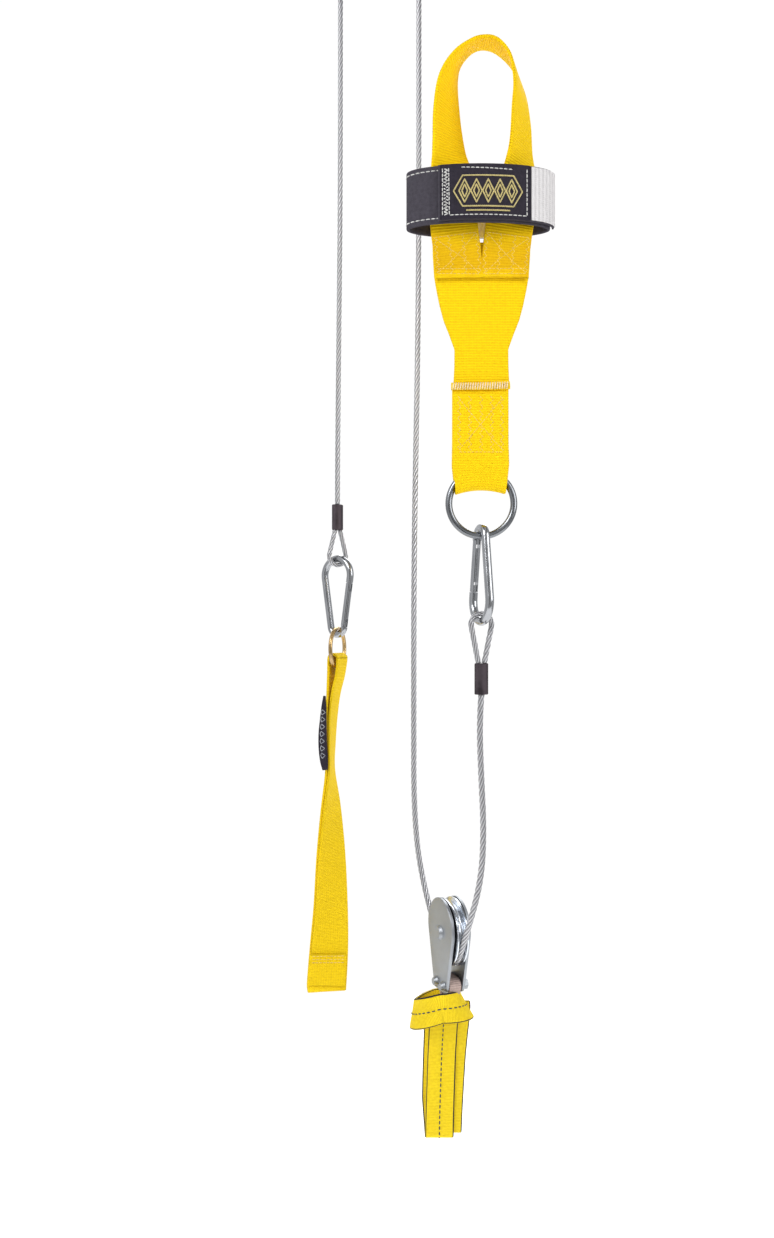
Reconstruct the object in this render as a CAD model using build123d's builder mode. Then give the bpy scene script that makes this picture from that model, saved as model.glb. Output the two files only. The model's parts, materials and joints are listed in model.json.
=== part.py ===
from build123d import *
import math
import os

# Cable-and-pulley hoist kit, in millimetres. X is right, Y is away from the front, Z is up.
# The origin is the inside crown of the upper hang strap, where the kit hangs on its bar.

os.makedirs("parts", exist_ok=True)

# ---- driving dimensions -------------------------------------------------------------------
ROPE_R = 2.4                    # 3/16 in wire rope
RUN_GAP = 0.35                  # rope to groove, and other faces that move past each other
WEB = 2.4                       # one ply of webbing

UPPER_CENTRE = Vector(0, 0, -160)
UPPER_YAW = -33.3               # heading of the upper sheave's plane, degrees from +X
UPPER_PITCH_R = 45.5
LOW_CENTRE = Vector(61, -112, -1086)
LOW_YAW = -69.0
LOW_PITCH_R = 25.5
LOW_SPREAD = 32.0               # degrees by which both falls spread below the low axle

LOAD_X, LOAD_Y = -41.0, 25.0    # the load chain's centre line
HANDLE_X, HANDLE_Y = 83.5, -165.0

FERRULE_L, FERRULE_W, FERRULE_T = 25.0, 11.4, 7.6
EYE_R = 8.7
LOAD_FERRULE_TOP = -704.0
LOAD_EYE_REACH = 26.0
HANDLE_FERRULE_BOTTOM = -881.0
HANDLE_EYE_REACH = 31.0

HOOK_WIRE_R = 3.5
HOOK_TOP_R, HOOK_LOW_R, HOOK_DROP = 16.5, 8.5, 75.0
GATE_R = 3.3

LOAD_RING_R, LOAD_RING_WIRE_R = 19.5, 2.0
HANDLE_RING_R, HANDLE_RING_WIRE_R = 26.0, 2.8

LOAD_EYE_YAW, LOAD_HOOK_YAW, LOAD_RING_YAW = 22.0, -38.0, 72.0
HANDLE_EYE_YAW, HANDLE_HOOK_YAW = 15.0, -72.0

BEAM = 63.5                     # side of the 2.5 in square beam that the anchor strap holds


def heading(yaw):
    """The level unit vector that points yaw degrees from +X towards +Y."""
    return Vector(math.cos(math.radians(yaw)), math.sin(math.radians(yaw)), 0)


def upright(centre, yaw, offset=0.0):
    """A vertical plane through centre: x along the heading, y up, z out of its front."""
    across = heading(yaw)
    front = across.cross(Vector(0, 0, 1))
    return Plane(centre + front * offset, x_dir=across, z_dir=front)


def save(part, name):
    """Labels one finished piece and writes it as its own STEP file."""
    part.label = name
    export_step(part, f"parts/{name}.step")


def ribbon(stations):
    """Webbing through stations of (point, width direction, tangent, width, thickness)."""
    with BuildPart() as band:
        for point, across, along, width, thick in stations:
            with BuildSketch(Plane(point, x_dir=across, z_dir=along)):
                Rectangle(width, thick)
        loft(ruled=True)
    return band.part


# ---- pulley blocks ------------------------------------------------------------------------
PLATE_T = 2.5
SHEAVE_W = 10.0
PLATE_GAP = 12.6
AXLE_R = 4.0
BUSH_R = 6.5
BOLT_R = 2.5
SPACER_R = 3.7


def sheave(name, centre, yaw, pitch_r, rim_r):
    """A grooved wheel with a bore for its bush."""
    across = heading(yaw)
    front = across.cross(Vector(0, 0, 1))
    groove_r = ROPE_R + RUN_GAP
    half = SHEAVE_W / 2
    with BuildPart() as wheel:
        with BuildSketch(Plane(centre, x_dir=across, z_dir=across.cross(front))):
            with BuildLine():
                Polyline(
                    (pitch_r, -groove_r),
                    (rim_r, -groove_r - 1.1),
                    (rim_r, -half),
                    (BUSH_R, -half),
                    (BUSH_R, half),
                    (rim_r, half),
                    (rim_r, groove_r + 1.1),
                    (pitch_r, groove_r),
                )
                ThreePointArc((pitch_r, groove_r), (pitch_r - groove_r, 0), (pitch_r, -groove_r))
            make_face()
        revolve(axis=Axis(centre, front))
        if rim_r > 40:
            with Locations(Plane(centre, x_dir=across, z_dir=front)):
                with PolarLocations((BUSH_R + pitch_r) / 2, 5):
                    Cylinder(7.5, SHEAVE_W + 2, mode=Mode.SUBTRACT)
    save(wheel.part, f"{name}_sheave")


def block(name, centre, yaw, plate_r, plate_lift, tail, bolt_gap, rim_r, pitch_r):
    """Two cheek plates, a sheave on a bushed axle, and a tail with two bolted spacers."""
    side = upright(centre, yaw)
    bolts = [(-bolt_gap / 2, tail), (bolt_gap / 2, tail)]
    for which, sign in (("near", 1), ("far", -1)):
        start = sign * PLATE_GAP / 2
        with BuildPart() as plate:
            with BuildSketch(upright(centre, yaw, start)):
                with BuildLine(mode=Mode.PRIVATE) as rounds:
                    CenterArc((0, plate_lift), plate_r, 0, 360)
                    for place in bolts:
                        CenterArc(place, 6.0, 0, 360)
                make_hull(rounds.edges())
                Circle(AXLE_R + 0.05, mode=Mode.SUBTRACT)
                with Locations(*bolts):
                    Circle(BOLT_R + 0.05, mode=Mode.SUBTRACT)
            extrude(amount=sign * PLATE_T)
            outer = plate.faces().filter_by(lambda f: f.area > 400).sort_by(
                lambda f: sign * f.center().dot(side.z_dir)
            )[-1]
            chamfer(outer.outer_wire().edges(), 0.6)
        save(plate.part, f"{name}_cheek_{which}")

    sheave(name, centre, yaw, pitch_r, rim_r)

    with BuildPart() as bush:
        with Locations(side):
            Cylinder(BUSH_R - 0.02, SHEAVE_W + 0.4)
            Cylinder(AXLE_R + 0.06, SHEAVE_W + 2, mode=Mode.SUBTRACT)
    save(bush.part, f"{name}_bush")

    reach = PLATE_GAP / 2 + PLATE_T
    with BuildPart() as axle:
        with Locations(side):
            Cylinder(AXLE_R, 2 * reach)
        for sign in (1, -1):
            with BuildSketch(upright(centre, yaw, sign * reach)):
                Circle(6.2)
            extrude(amount=sign * 2.2, taper=35)
    save(axle.part, f"{name}_axle")

    with BuildPart() as washers:
        for sign in (1, -1):
            with BuildSketch(upright(centre, yaw, sign * (SHEAVE_W / 2 + 0.3))):
                Circle(8.5)
                Circle(AXLE_R + 0.1, mode=Mode.SUBTRACT)
            extrude(amount=sign * (PLATE_GAP / 2 - SHEAVE_W / 2 - 0.35))
    save(washers.part, f"{name}_washers")

    with BuildPart() as spacers:
        with BuildSketch(upright(centre, yaw, -PLATE_GAP / 2 + 0.05)):
            with Locations(*bolts):
                Circle(SPACER_R)
                Circle(BOLT_R + 0.1, mode=Mode.SUBTRACT)
        extrude(amount=PLATE_GAP - 0.1)
    save(spacers.part, f"{name}_spacers")

    with BuildPart() as screws:
        with BuildSketch(upright(centre, yaw, -reach - 4.5)):
            with Locations(*bolts):
                Circle(BOLT_R)
        extrude(amount=2 * reach + 4.5)
        with BuildSketch(upright(centre, yaw, reach)):
            with Locations(*bolts):
                Circle(4.6)
        extrude(amount=3.0, taper=30)
    save(screws.part, f"{name}_bolts")

    with BuildPart() as nuts:
        with BuildSketch(upright(centre, yaw, -reach)):
            with Locations(*bolts):
                RegularPolygon(4.4, 6)
                Circle(BOLT_R + 0.05, mode=Mode.SUBTRACT)
        extrude(amount=-4.0)
    save(nuts.part, f"{name}_nuts")


UPPER_TAIL, UPPER_BOLT_GAP = 66.0, 18.0
LOW_TAIL, LOW_BOLT_GAP = -43.6, 14.5
block("upper", UPPER_CENTRE, UPPER_YAW, 46.0, 0.0, UPPER_TAIL, UPPER_BOLT_GAP, 49.5, UPPER_PITCH_R)
block("low", LOW_CENTRE, LOW_YAW, 25.0, 4.0, LOW_TAIL, LOW_BOLT_GAP, 28.6, LOW_PITCH_R)


# ---- straps at the two blocks --------------------------------------------------------------
def strap_eye(name, centre, yaw, tail, bolt_gap, far_r, far_z, wide, narrow, neck_z):
    """A flat webbing loop from the spacers of a block to a round crown at far_z."""
    side = upright(centre, yaw)
    low = SPACER_R + 0.15
    with BuildPart() as loop_strap:
        with BuildSketch(upright(centre, yaw, -wide / 2)):
            for grow, mode in ((WEB, Mode.ADD), (0.0, Mode.SUBTRACT)):
                with BuildLine(mode=Mode.PRIVATE) as rounds:
                    for x in (-bolt_gap / 2, bolt_gap / 2):
                        CenterArc((x, tail), low + grow, 0, 360)
                    CenterArc((0, far_z), far_r + grow, 0, 360)
                make_hull(rounds.edges(), mode=mode)
        extrude(amount=wide)
        # The webbing is folded narrow where it enters the gap between the cheek plates.
        end_z = far_z + math.copysign(far_r + WEB + 1, far_z - tail)
        low_z = tail - math.copysign(low + WEB + 1, far_z - tail)
        across = side.z_dir
        with BuildSketch(Plane(centre, x_dir=across, z_dir=side.x_dir * -1)):
            with BuildLine():
                Polyline(
                    (-narrow / 2, low_z), (-narrow / 2, neck_z), (-wide / 2, end_z),
                    (wide / 2, end_z), (narrow / 2, neck_z), (narrow / 2, low_z), close=True,
                )
            make_face()
        extrude(amount=far_r + WEB + 20, both=True, mode=Mode.INTERSECT)
    save(loop_strap.part, name)


strap_eye("hang_strap", UPPER_CENTRE, UPPER_YAW, UPPER_TAIL, UPPER_BOLT_GAP,
          far_r=27.0, far_z=133.0, wide=25.0, narrow=11.6, neck_z=UPPER_TAIL + 16)
strap_eye("anchor_strap_eye", LOW_CENTRE, LOW_YAW, LOW_TAIL, LOW_BOLT_GAP,
          far_r=5.5, far_z=-51.0, wide=12.0, narrow=11.6, neck_z=LOW_TAIL - 10)

BEAM_FRONT, BEAM_TOP = -95.0, -1201.0
BEAM_BACK, BEAM_BOTTOM = BEAM_FRONT + BEAM, BEAM_TOP - BEAM
CHOKE_Z = -1151.0
CHOKE_A, CHOKE_B = 27.0, 25.0
APEX_Y, APEX_Z = -107.0, -1150.0


def beam_wrap(name, inside, x_low, x_high):
    """One ply of the anchor strap, closed round the beam and drawn up into the choke."""
    outlines = []
    for reach in (inside + WEB, inside):
        outlines.append([
            (APEX_Y - reach, APEX_Z + reach * 0.5),
            (APEX_Y + 4 + reach, APEX_Z + reach * 0.5),
            (APEX_Y + 11.5 + reach, APEX_Z - 24 + reach * 0.5),
            (BEAM_BACK + reach, BEAM_TOP + reach),
            (BEAM_BACK + reach, BEAM_BOTTOM - reach),
            (BEAM_FRONT - reach, BEAM_BOTTOM - reach),
            (BEAM_FRONT - reach, BEAM_TOP + reach),
        ])
    with BuildPart() as wrap:
        with BuildSketch(Plane((x_low, 0, 0), x_dir=(0, 1, 0), z_dir=(1, 0, 0))):
            for outline, mode in zip(outlines, (Mode.ADD, Mode.SUBTRACT)):
                with BuildLine():
                    Polyline(*outline, close=True)
                make_face(mode=mode)
        extrude(amount=x_high - x_low)
    save(wrap.part, name)


beam_wrap("anchor_strap_outer_ply", WEB + 0.6, 41.0, 66.0)
beam_wrap("anchor_strap_inner_ply", 0.2, 50.0, 75.0)

with BuildPart() as choke:
    with BuildSketch(Plane((53.5, -106.0, CHOKE_Z), x_dir=(math.cos(0.24), 0, math.sin(0.24)),
                           z_dir=(-math.sin(0.24), 0, math.cos(0.24)))):
        Ellipse(CHOKE_A, CHOKE_B)
        Ellipse(CHOKE_A - WEB, CHOKE_B - WEB, mode=Mode.SUBTRACT)
    extrude(amount=11.0, both=True)
save(choke.part, "anchor_strap_choke")


# ---- wire rope ------------------------------------------------------------------------------
def bend(name, centre, yaw, pitch_r, start, sweep_angle):
    """Rope lying in a sheave's groove, from the start angle round the sheave's axis."""
    side = upright(centre, yaw)
    a = math.radians(start)
    begin = side.x_dir * (pitch_r * math.cos(a)) + side.y_dir * (pitch_r * math.sin(a))
    along = side.y_dir * math.cos(a) - side.x_dir * math.sin(a)
    with BuildPart() as rope:
        with BuildSketch(Plane(centre + begin, x_dir=side.z_dir, z_dir=along)):
            Circle(ROPE_R)
        revolve(axis=Axis(centre, side.z_dir), revolution_arc=sweep_angle)
    save(rope.part, name)


def tube(name, route, radius=ROPE_R):
    """Rope along straight runs joined by tangent arcs as large as the runs allow."""
    points = [Vector(p) for p in route]
    radii = []
    for before, here, after in zip(points, points[1:], points[2:]):
        turn = math.radians((here - before).get_angle(after - here))
        short = min((here - before).length, (after - here).length)
        radii.append(0.45 * short / math.tan(turn / 2))
    print(name, "radii", [round(r) for r in radii])
    with BuildPart() as rope:
        with BuildLine() as path:
            FilletPolyline(*points, radius=radii)
        with BuildSketch(Plane(points[0], z_dir=points[1] - points[0])):
            Circle(radius)
        sweep(path=path.wire())
    length = path.wire().length
    print(name, "length", round(length, 1), "volume ratio",
          round(rope.part.volume / (math.pi * radius**2 * length), 4))
    save(rope.part, name)


def on_low_side(u, z):
    """A point in the low sheave's plane: u along its heading, z above its axle."""
    return LOW_CENTRE + heading(LOW_YAW) * u + Vector(0, 0, z)


SPREAD = math.radians(LOW_SPREAD)
LOW_EXIT_U, LOW_EXIT_Z = LOW_PITCH_R * math.cos(SPREAD), -LOW_PITCH_R * math.sin(SPREAD)


def spread_point(sign, rise):
    """A point on the straight rope that leaves the low sheave, rise above its tangent point."""
    return on_low_side(sign * (LOW_EXIT_U + rise * math.tan(SPREAD)), LOW_EXIT_Z + rise)


UPPER_LEFT = UPPER_CENTRE - heading(UPPER_YAW) * UPPER_PITCH_R
UPPER_RIGHT = UPPER_CENTRE + heading(UPPER_YAW) * UPPER_PITCH_R
bend("rope_upper_bend", UPPER_CENTRE, UPPER_YAW, UPPER_PITCH_R, 0, 180)
bend("rope_low_bend", LOW_CENTRE, LOW_YAW, LOW_PITCH_R, 180 + LOW_SPREAD, 180 - 2 * LOW_SPREAD)

MIDDLE_ROUTE = [
    UPPER_RIGHT, UPPER_RIGHT + Vector(0, 0, -200), (37.0, -43.0, -545.0), (32.5, -60.0, -745.0),
    (31.0, -66.0, -900.0), (31.0, -68.0, -1005.0), spread_point(-1, 35), spread_point(-1, 0),
]
tube("rope_middle_fall", MIDDLE_ROUTE)

LOAD_FALL_ROUTE = [
    UPPER_LEFT, UPPER_LEFT + Vector(0, 0, -230), (-39.5, 25.4, -520.0),
    (LOAD_X, LOAD_Y, LOAD_FERRULE_TOP + 40), (LOAD_X, LOAD_Y, LOAD_FERRULE_TOP),
]
tube("load_rope_fall", LOAD_FALL_ROUTE)

HANDLE_FALL_ROUTE = [
    spread_point(1, 0), spread_point(1, 30), (84.5, -153.0, -1032.0), (86.2, -158.0, -992.0),
    (85.0, -162.0, -945.0), (HANDLE_X, HANDLE_Y, -905.0), (HANDLE_X, HANDLE_Y, HANDLE_FERRULE_BOTTOM),
]
tube("handle_rope_fall", HANDLE_FALL_ROUTE)


def rope_end(name, x, y, face_z, sign, reach, yaw):
    """A pressed ferrule and the eye beyond it; sign is -1 where the eye hangs below."""
    with BuildPart() as ferrule:
        with BuildSketch(Plane((x, y, face_z), x_dir=heading(yaw))):
            Ellipse(FERRULE_W / 2, FERRULE_T / 2)
        extrude(amount=-sign * FERRULE_L)
        chamfer(ferrule.edges().filter_by(GeomType.ELLIPSE), 0.5)
    save(ferrule.part, f"{name}_ferrule")

    leg = ROPE_R + 0.25
    far = math.hypot(leg, reach)
    run = math.sqrt(far**2 - EYE_R**2)
    # The straight leg from (-leg, 0) touches the round end of the eye, centred at (0, reach).
    a = math.atan2(reach, leg) + math.asin(EYE_R / far)
    touch = (-leg + run * math.cos(a), run * math.sin(a))
    side = upright(Vector(x, y, face_z), yaw)
    with BuildPart() as eye:
        with BuildLine(side) as path:
            Line((-leg, 0), (touch[0], sign * touch[1]))
            ThreePointArc((touch[0], sign * touch[1]), (0, sign * (reach + EYE_R)),
                          (-touch[0], sign * touch[1]))
            Line((-touch[0], sign * touch[1]), (leg, 0))
        first = path.wire() @ 0
        with BuildSketch(Plane(first, z_dir=path.wire() % 0)):
            Circle(ROPE_R)
        sweep(path=path.wire())
        with BuildSketch(Plane((x, y, face_z))):
            Rectangle(40, 40)
        extrude(amount=-sign * 10, mode=Mode.SUBTRACT)
    save(eye.part, f"{name}_eye")


LOAD_FACE_Z = LOAD_FERRULE_TOP - FERRULE_L
HANDLE_FACE_Z = HANDLE_FERRULE_BOTTOM + FERRULE_L
rope_end("load_rope", LOAD_X, LOAD_Y, LOAD_FACE_Z, -1, LOAD_EYE_REACH, LOAD_EYE_YAW)
rope_end("handle_rope", HANDLE_X, HANDLE_Y, HANDLE_FACE_Z, 1, HANDLE_EYE_REACH, HANDLE_EYE_YAW)


# ---- snap hooks -----------------------------------------------------------------------------
def snap_hook(name, x, y, wide_z, yaw, gate_side, turned=False):
    """A pear-shaped spring hook; wide_z is its wire's centre at the wide end, its top unless turned."""
    front = heading(yaw).cross(Vector(0, 0, 1))

    def plane(offset=0.0):
        return Plane(Vector(x, y, wide_z) + front * offset, x_dir=heading(yaw) * (-1 if turned else 1),
                     z_dir=front)

    side = plane()
    top = (0, -HOOK_TOP_R)
    low = (0, -HOOK_DROP + HOOK_LOW_R)
    drop = top[1] - low[1]
    lean = math.asin((HOOK_TOP_R - HOOK_LOW_R) / drop)
    g = gate_side

    def rim(centre, radius, angle):
        return (centre[0] + g * radius * math.cos(angle), centre[1] + radius * math.sin(angle))

    upper_gate, low_gate = rim(top, HOOK_TOP_R, -lean), rim(low, HOOK_LOW_R, -lean)
    gate_run = Vector(*low_gate) - Vector(*upper_gate)
    latch = Vector(*upper_gate) + gate_run * 0.10
    hinge = Vector(*upper_gate) + gate_run * 0.97
    with BuildPart() as body:
        with BuildLine(side) as path:
            Line((latch.X, latch.Y), upper_gate)
            ThreePointArc(upper_gate, (0, 0), rim(top, HOOK_TOP_R, math.pi + lean))
            Line(rim(top, HOOK_TOP_R, math.pi + lean), rim(low, HOOK_LOW_R, math.pi + lean))
            ThreePointArc(rim(low, HOOK_LOW_R, math.pi + lean), (0, -HOOK_DROP), low_gate)
        with BuildSketch(Plane(path.wire() @ 0, z_dir=path.wire() % 0)):
            Circle(HOOK_WIRE_R)
        sweep(path=path.wire())
        # Flat tongues at both ends, one for the latch and one for the gate's hinge.
        down = gate_run.normalized()
        across = Vector(-down.Y, down.X)
        for start, length in ((latch, 6.0), (Vector(*low_gate), -gate_run.length * 0.03 - 4.0)):
            tip = start + down * length
            back = start - down * math.copysign(2.0, length)
            corners = [back + across * 2.2, tip + across * 2.2, tip - across * 2.2, back - across * 2.2]
            with BuildSketch(plane(-1.2)):
                with BuildLine():
                    Polyline(*[(c.X, c.Y) for c in corners], close=True)
                make_face()
            extrude(amount=2.4)
        with Locations(side):
            with Locations((hinge.X, hinge.Y, 0)):
                Cylinder(1.3, 12, mode=Mode.SUBTRACT)
    save(body.part, f"{name}_hook_body")

    gate_top = latch + down * 0.5
    gate_foot = Vector(*low_gate) - down * 0.4
    gate_centre = (gate_top + gate_foot) * 0.5
    gate_length = (gate_foot - gate_top).length
    origin = side.from_local_coords(Vector(gate_centre.X, gate_centre.Y, 0))
    along = (side.x_dir * down.X + side.y_dir * down.Y).normalized()
    with BuildPart() as gate:
        with Locations(Plane(origin, x_dir=side.z_dir, z_dir=along)):
            Cylinder(GATE_R, gate_length)
        for start, length in ((gate_top - down, 9.0), (gate_foot + down, -9.0)):
            tip = start + down * length
            corners = [start + across * 6, tip + across * 6, tip - across * 6, start - across * 6]
            with BuildSketch(plane(-1.6)):
                with BuildLine():
                    Polyline(*[(c.X, c.Y) for c in corners], close=True)
                make_face()
            extrude(amount=3.2, mode=Mode.SUBTRACT)
        with Locations(side):
            with Locations((hinge.X, hinge.Y, 0)):
                Cylinder(1.3, 12, mode=Mode.SUBTRACT)
        with Locations(Plane(origin, x_dir=side.z_dir, z_dir=along)):
            Cylinder(1.75, gate_length - 22, mode=Mode.SUBTRACT)
        # The foot is cut away on its inner side, so that the gate can swing inwards.
        inner = across if across.X * g < 0 else -across
        heel = hinge + down * 0.6
        wedge = [heel, heel + inner * 6 - down * 6 * math.tan(math.radians(27)), heel + inner * 6 + down * 5,
                 heel + down * 5]
        with BuildSketch(plane(-6)):
            with BuildLine():
                Polyline(*[(c.X, c.Y) for c in wedge], close=True)
            make_face()
        extrude(amount=12, mode=Mode.SUBTRACT)
    save(gate.part, f"{name}_hook_gate")

    with BuildPart() as pin:
        with Locations(side):
            with Locations((hinge.X, hinge.Y, 0)):
                Cylinder(1.25, 2 * GATE_R + 0.3)
    save(pin.part, f"{name}_gate_pin")

    with BuildPart() as spring:
        with Locations(Plane(origin, x_dir=side.z_dir, z_dir=along)):
            Cylinder(1.6, gate_length - 24)
            Cylinder(0.9, gate_length - 20, mode=Mode.SUBTRACT)
    save(spring.part, f"{name}_gate_spring")
    pivot = side.from_local_coords(Vector(hinge.X, hinge.Y, 0))
    print(name, "gate pivot", pivot, "axis", side.z_dir * g)


LOAD_EYE_BOTTOM = LOAD_FACE_Z - LOAD_EYE_REACH - EYE_R
LOAD_HOOK_TOP = LOAD_EYE_BOTTOM + ROPE_R + HOOK_WIRE_R + RUN_GAP
snap_hook("load", LOAD_X, LOAD_Y, LOAD_HOOK_TOP, LOAD_HOOK_YAW, 1)
HANDLE_EYE_TOP = HANDLE_FACE_Z + HANDLE_EYE_REACH + EYE_R
HANDLE_HOOK_WIDE = HANDLE_EYE_TOP - ROPE_R - HOOK_WIRE_R - RUN_GAP
HANDLE_HOOK_TOP = HANDLE_HOOK_WIDE + HOOK_DROP
snap_hook("handle", HANDLE_X, HANDLE_Y, HANDLE_HOOK_WIDE, HANDLE_HOOK_YAW, 1, turned=True)


# ---- rings ----------------------------------------------------------------------------------
LOAD_RING_Z = LOAD_HOOK_TOP - HOOK_DROP + HOOK_WIRE_R + LOAD_RING_WIRE_R + RUN_GAP - LOAD_RING_R
HANDLE_RING_Z = HANDLE_HOOK_TOP - HOOK_WIRE_R - HANDLE_RING_WIRE_R - RUN_GAP + HANDLE_RING_R
rings = (
    ("load_ring", Vector(LOAD_X, LOAD_Y, LOAD_RING_Z), LOAD_RING_YAW, LOAD_RING_R, LOAD_RING_WIRE_R),
    ("handle_ring", Vector(HANDLE_X, HANDLE_Y, HANDLE_RING_Z), 0, HANDLE_RING_R, HANDLE_RING_WIRE_R),
)
for name, centre, yaw, ring_r, wire_r in rings:
    with BuildPart() as ring:
        with Locations(upright(centre, yaw)):
            Torus(ring_r, wire_r)
    save(ring.part, name)
print("levels", LOAD_EYE_BOTTOM, LOAD_HOOK_TOP, HANDLE_EYE_TOP, HANDLE_HOOK_TOP, LOAD_RING_Z,
      HANDLE_RING_Z)

# ---- load strap -----------------------------------------------------------------------------
# Two plies hang from the ring, edge-on to the front at the top, and turn face-on at the bottom.
LOAD_WEB_W = 38.0
LOAD_BOTTOM_Z = -1187.0
load_levels = (
    # height, centre x, centre y, yaw, width, half gap between the plies' centres
    (-856.5, -41.0, 25.0, 72, 26, 4.7),
    (-872, -42.3, 25.0, 73, 25, 4.2),
    (-892, -45.0, 25.0, 77, 30, 2.2),
    (-915, -47.0, 25.3, 81, 36, 1.5),
    (-940, -48.0, 25.5, 84, LOAD_WEB_W, 1.45),
    (-968, -48.4, 25.5, 85, LOAD_WEB_W, 1.45),
    (-1004, -47.7, 25.5, 68, LOAD_WEB_W, 1.5),
    (-1052, -47.5, 25.0, 50, LOAD_WEB_W, 1.8),
    (-1100, -47.7, 24.5, 37, LOAD_WEB_W, 2.6),
    (-1140, -49.3, 24.0, 22, LOAD_WEB_W, 4.2),
    (LOAD_BOTTOM_Z + 9, -51.8, 24.0, 9, LOAD_WEB_W, 6.6),
)
down = Vector(0, 0, -1)
with BuildPart() as load_strap:
    for sign in (1, -1):
        stations = []
        for z, x, y, yaw, width, half in load_levels:
            out = heading(yaw + 90) * (sign * half)
            stations.append((Vector(x, y, z) + out, heading(yaw), down, width, WEB))
        add(ribbon(stations))
    for (z, x, y, yaw, width, half), turn in ((load_levels[0], 1), (load_levels[-1], -1)):
        out = heading(yaw + 90)
        centre = Vector(x, y, z)
        with BuildSketch(Plane(centre + out * half, x_dir=heading(yaw), z_dir=Vector(0, 0, turn))):
            Rectangle(width, WEB)
        revolve(axis=Axis(centre, heading(yaw) * turn), revolution_arc=180)
save(load_strap.part, "load_strap")

with BuildPart() as load_label:
    with BuildSketch(Plane((-56.0, 4.6, -931.0), x_dir=(1, 0, 0), z_dir=(0, -1, 0))):
        Rectangle(9.0, 72.0)
    extrude(amount=0.6, both=True)
save(load_label.part, "load_strap_label")

# ---- handle strap ---------------------------------------------------------------------------
FOLD_BOTTOM = -721.2
POCKET = 4.7                    # half the clear width of the fold that holds the ring
TAB_W = 45.0
TAB_TOP = -632.0
with BuildPart() as tab:
    with BuildSketch(Plane((HANDLE_X - TAB_W / 2, HANDLE_Y, 0), x_dir=(0, 1, 0), z_dir=(1, 0, 0))):
        fold_z = FOLD_BOTTOM + POCKET + WEB
        for grow, mode in ((WEB, Mode.ADD), (0.0, Mode.SUBTRACT)):
            with BuildLine(mode=Mode.PRIVATE) as rounds:
                CenterArc((0, fold_z), POCKET + grow, 0, 360)
                CenterArc((0, -700.0), POCKET + grow, 0, 360)
                CenterArc((0, -678.0), 0.2 + grow, 0, 360)
            make_hull(rounds.edges(), mode=mode)
        with Locations((0, (TAB_TOP - 679.0) / 2)):
            Rectangle(2 * WEB + 0.6, TAB_TOP + 679.0)
    extrude(amount=TAB_W)
    # Both bottom corners are turned in, clear of the ring.
    for sign in (-1, 1):
        with Locations((HANDLE_X + sign * (TAB_W / 2 + 3.5), HANDLE_Y, -721.0)):
            Box(10, 20, 20, mode=Mode.SUBTRACT)
save(tab.part, "handle_tab")

with BuildPart() as body_web:
    with BuildSketch(Plane((HANDLE_X, HANDLE_Y + WEB, 0), x_dir=(1, 0, 0), z_dir=(0, -1, 0))):
        with BuildLine() as outline:
            right = [(22.3, TAB_TOP + 0.2), (21.5, -605.0), (27.2, -593.0), (33.6, -570.0), (38.0, -547.0)]
            Spline(*right, tangents=((-0.1, 1), (0.12, 1)))
            Line(right[-1], (39.5, -515.0))
            Line((39.5, -515.0), (0, -515.0))
            mirror(outline.edges(), about=Plane.YZ)
            Line((-22.3, TAB_TOP + 0.2), (22.3, TAB_TOP + 0.2))
        make_face()
    extrude(amount=2 * WEB)
save(body_web.part, "handle_body_web")

loop_plane_y = HANDLE_Y - WEB - WEB / 2 - 0.1
LOOP_W = 38.0
loop_stations = []
for x, z, yaw, tangent in (
    (-19.5, -547.0, 0, 92), (-21.3, -508.0, 0, 91), (-21.8, -466.0, 8, 94), (-26.0, -446.0, 46, 97),
    (-28.5, -420.0, 60, 90), (-27.0, -396.0, 70, 75), (-19.0, -376.5, 80, 52), (-8.0, -365.0, 87, 24),
    (3.0, -361.5, 90, 0), (14.0, -365.5, 87, -26), (24.5, -378.0, 80, -56), (30.5, -398.0, 70, -80),
    (32.0, -420.0, 60, -90), (29.8, -446.0, 46, -97), (22.2, -466.0, 8, -94), (21.5, -508.0, 0, -91),
    (19.9, -547.0, 0, -92),
):
    lean = math.radians(tangent)
    along = Vector(math.cos(lean), 0, math.sin(lean))
    # The crown leans back, so that its far edge is the higher one.
    rise = math.radians(16) * math.sin(math.radians(yaw)) ** 6
    across = heading(yaw) * math.cos(rise) + Vector(0, 0, math.sin(rise))
    across = (across - along * across.dot(along)).normalized()
    loop_stations.append((Vector(HANDLE_X + x, loop_plane_y, z), across, along, LOOP_W, WEB))
save(ribbon(loop_stations), "hand_loop")

# ---- hook-and-loop cuff ---------------------------------------------------------------------
CUFF_X = 81.0
CUFF_A, CUFF_B = 57.5, 17.0
CUFF_Z, CUFF_H = -487.0, 46.0
CUFF_WALL = 2.6


def shell(name, grow, thick, height, x_low, x_high, y_low, y_high, lift=0.0):
    """A band of the cuff's oval, grow outside its outer face, cut to an x and y range."""
    with BuildPart() as band:
        with BuildSketch(Plane((CUFF_X, HANDLE_Y, CUFF_Z - height / 2 + lift))):
            Ellipse(CUFF_A + grow + thick, CUFF_B + grow + thick)
            Ellipse(CUFF_A + grow, CUFF_B + grow, mode=Mode.SUBTRACT)
            with Locations(((x_low + x_high) / 2, (y_low + y_high) / 2)):
                Rectangle(x_high - x_low, y_high - y_low, mode=Mode.INTERSECT)
        extrude(amount=height)
    save(band.part, name)


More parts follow.
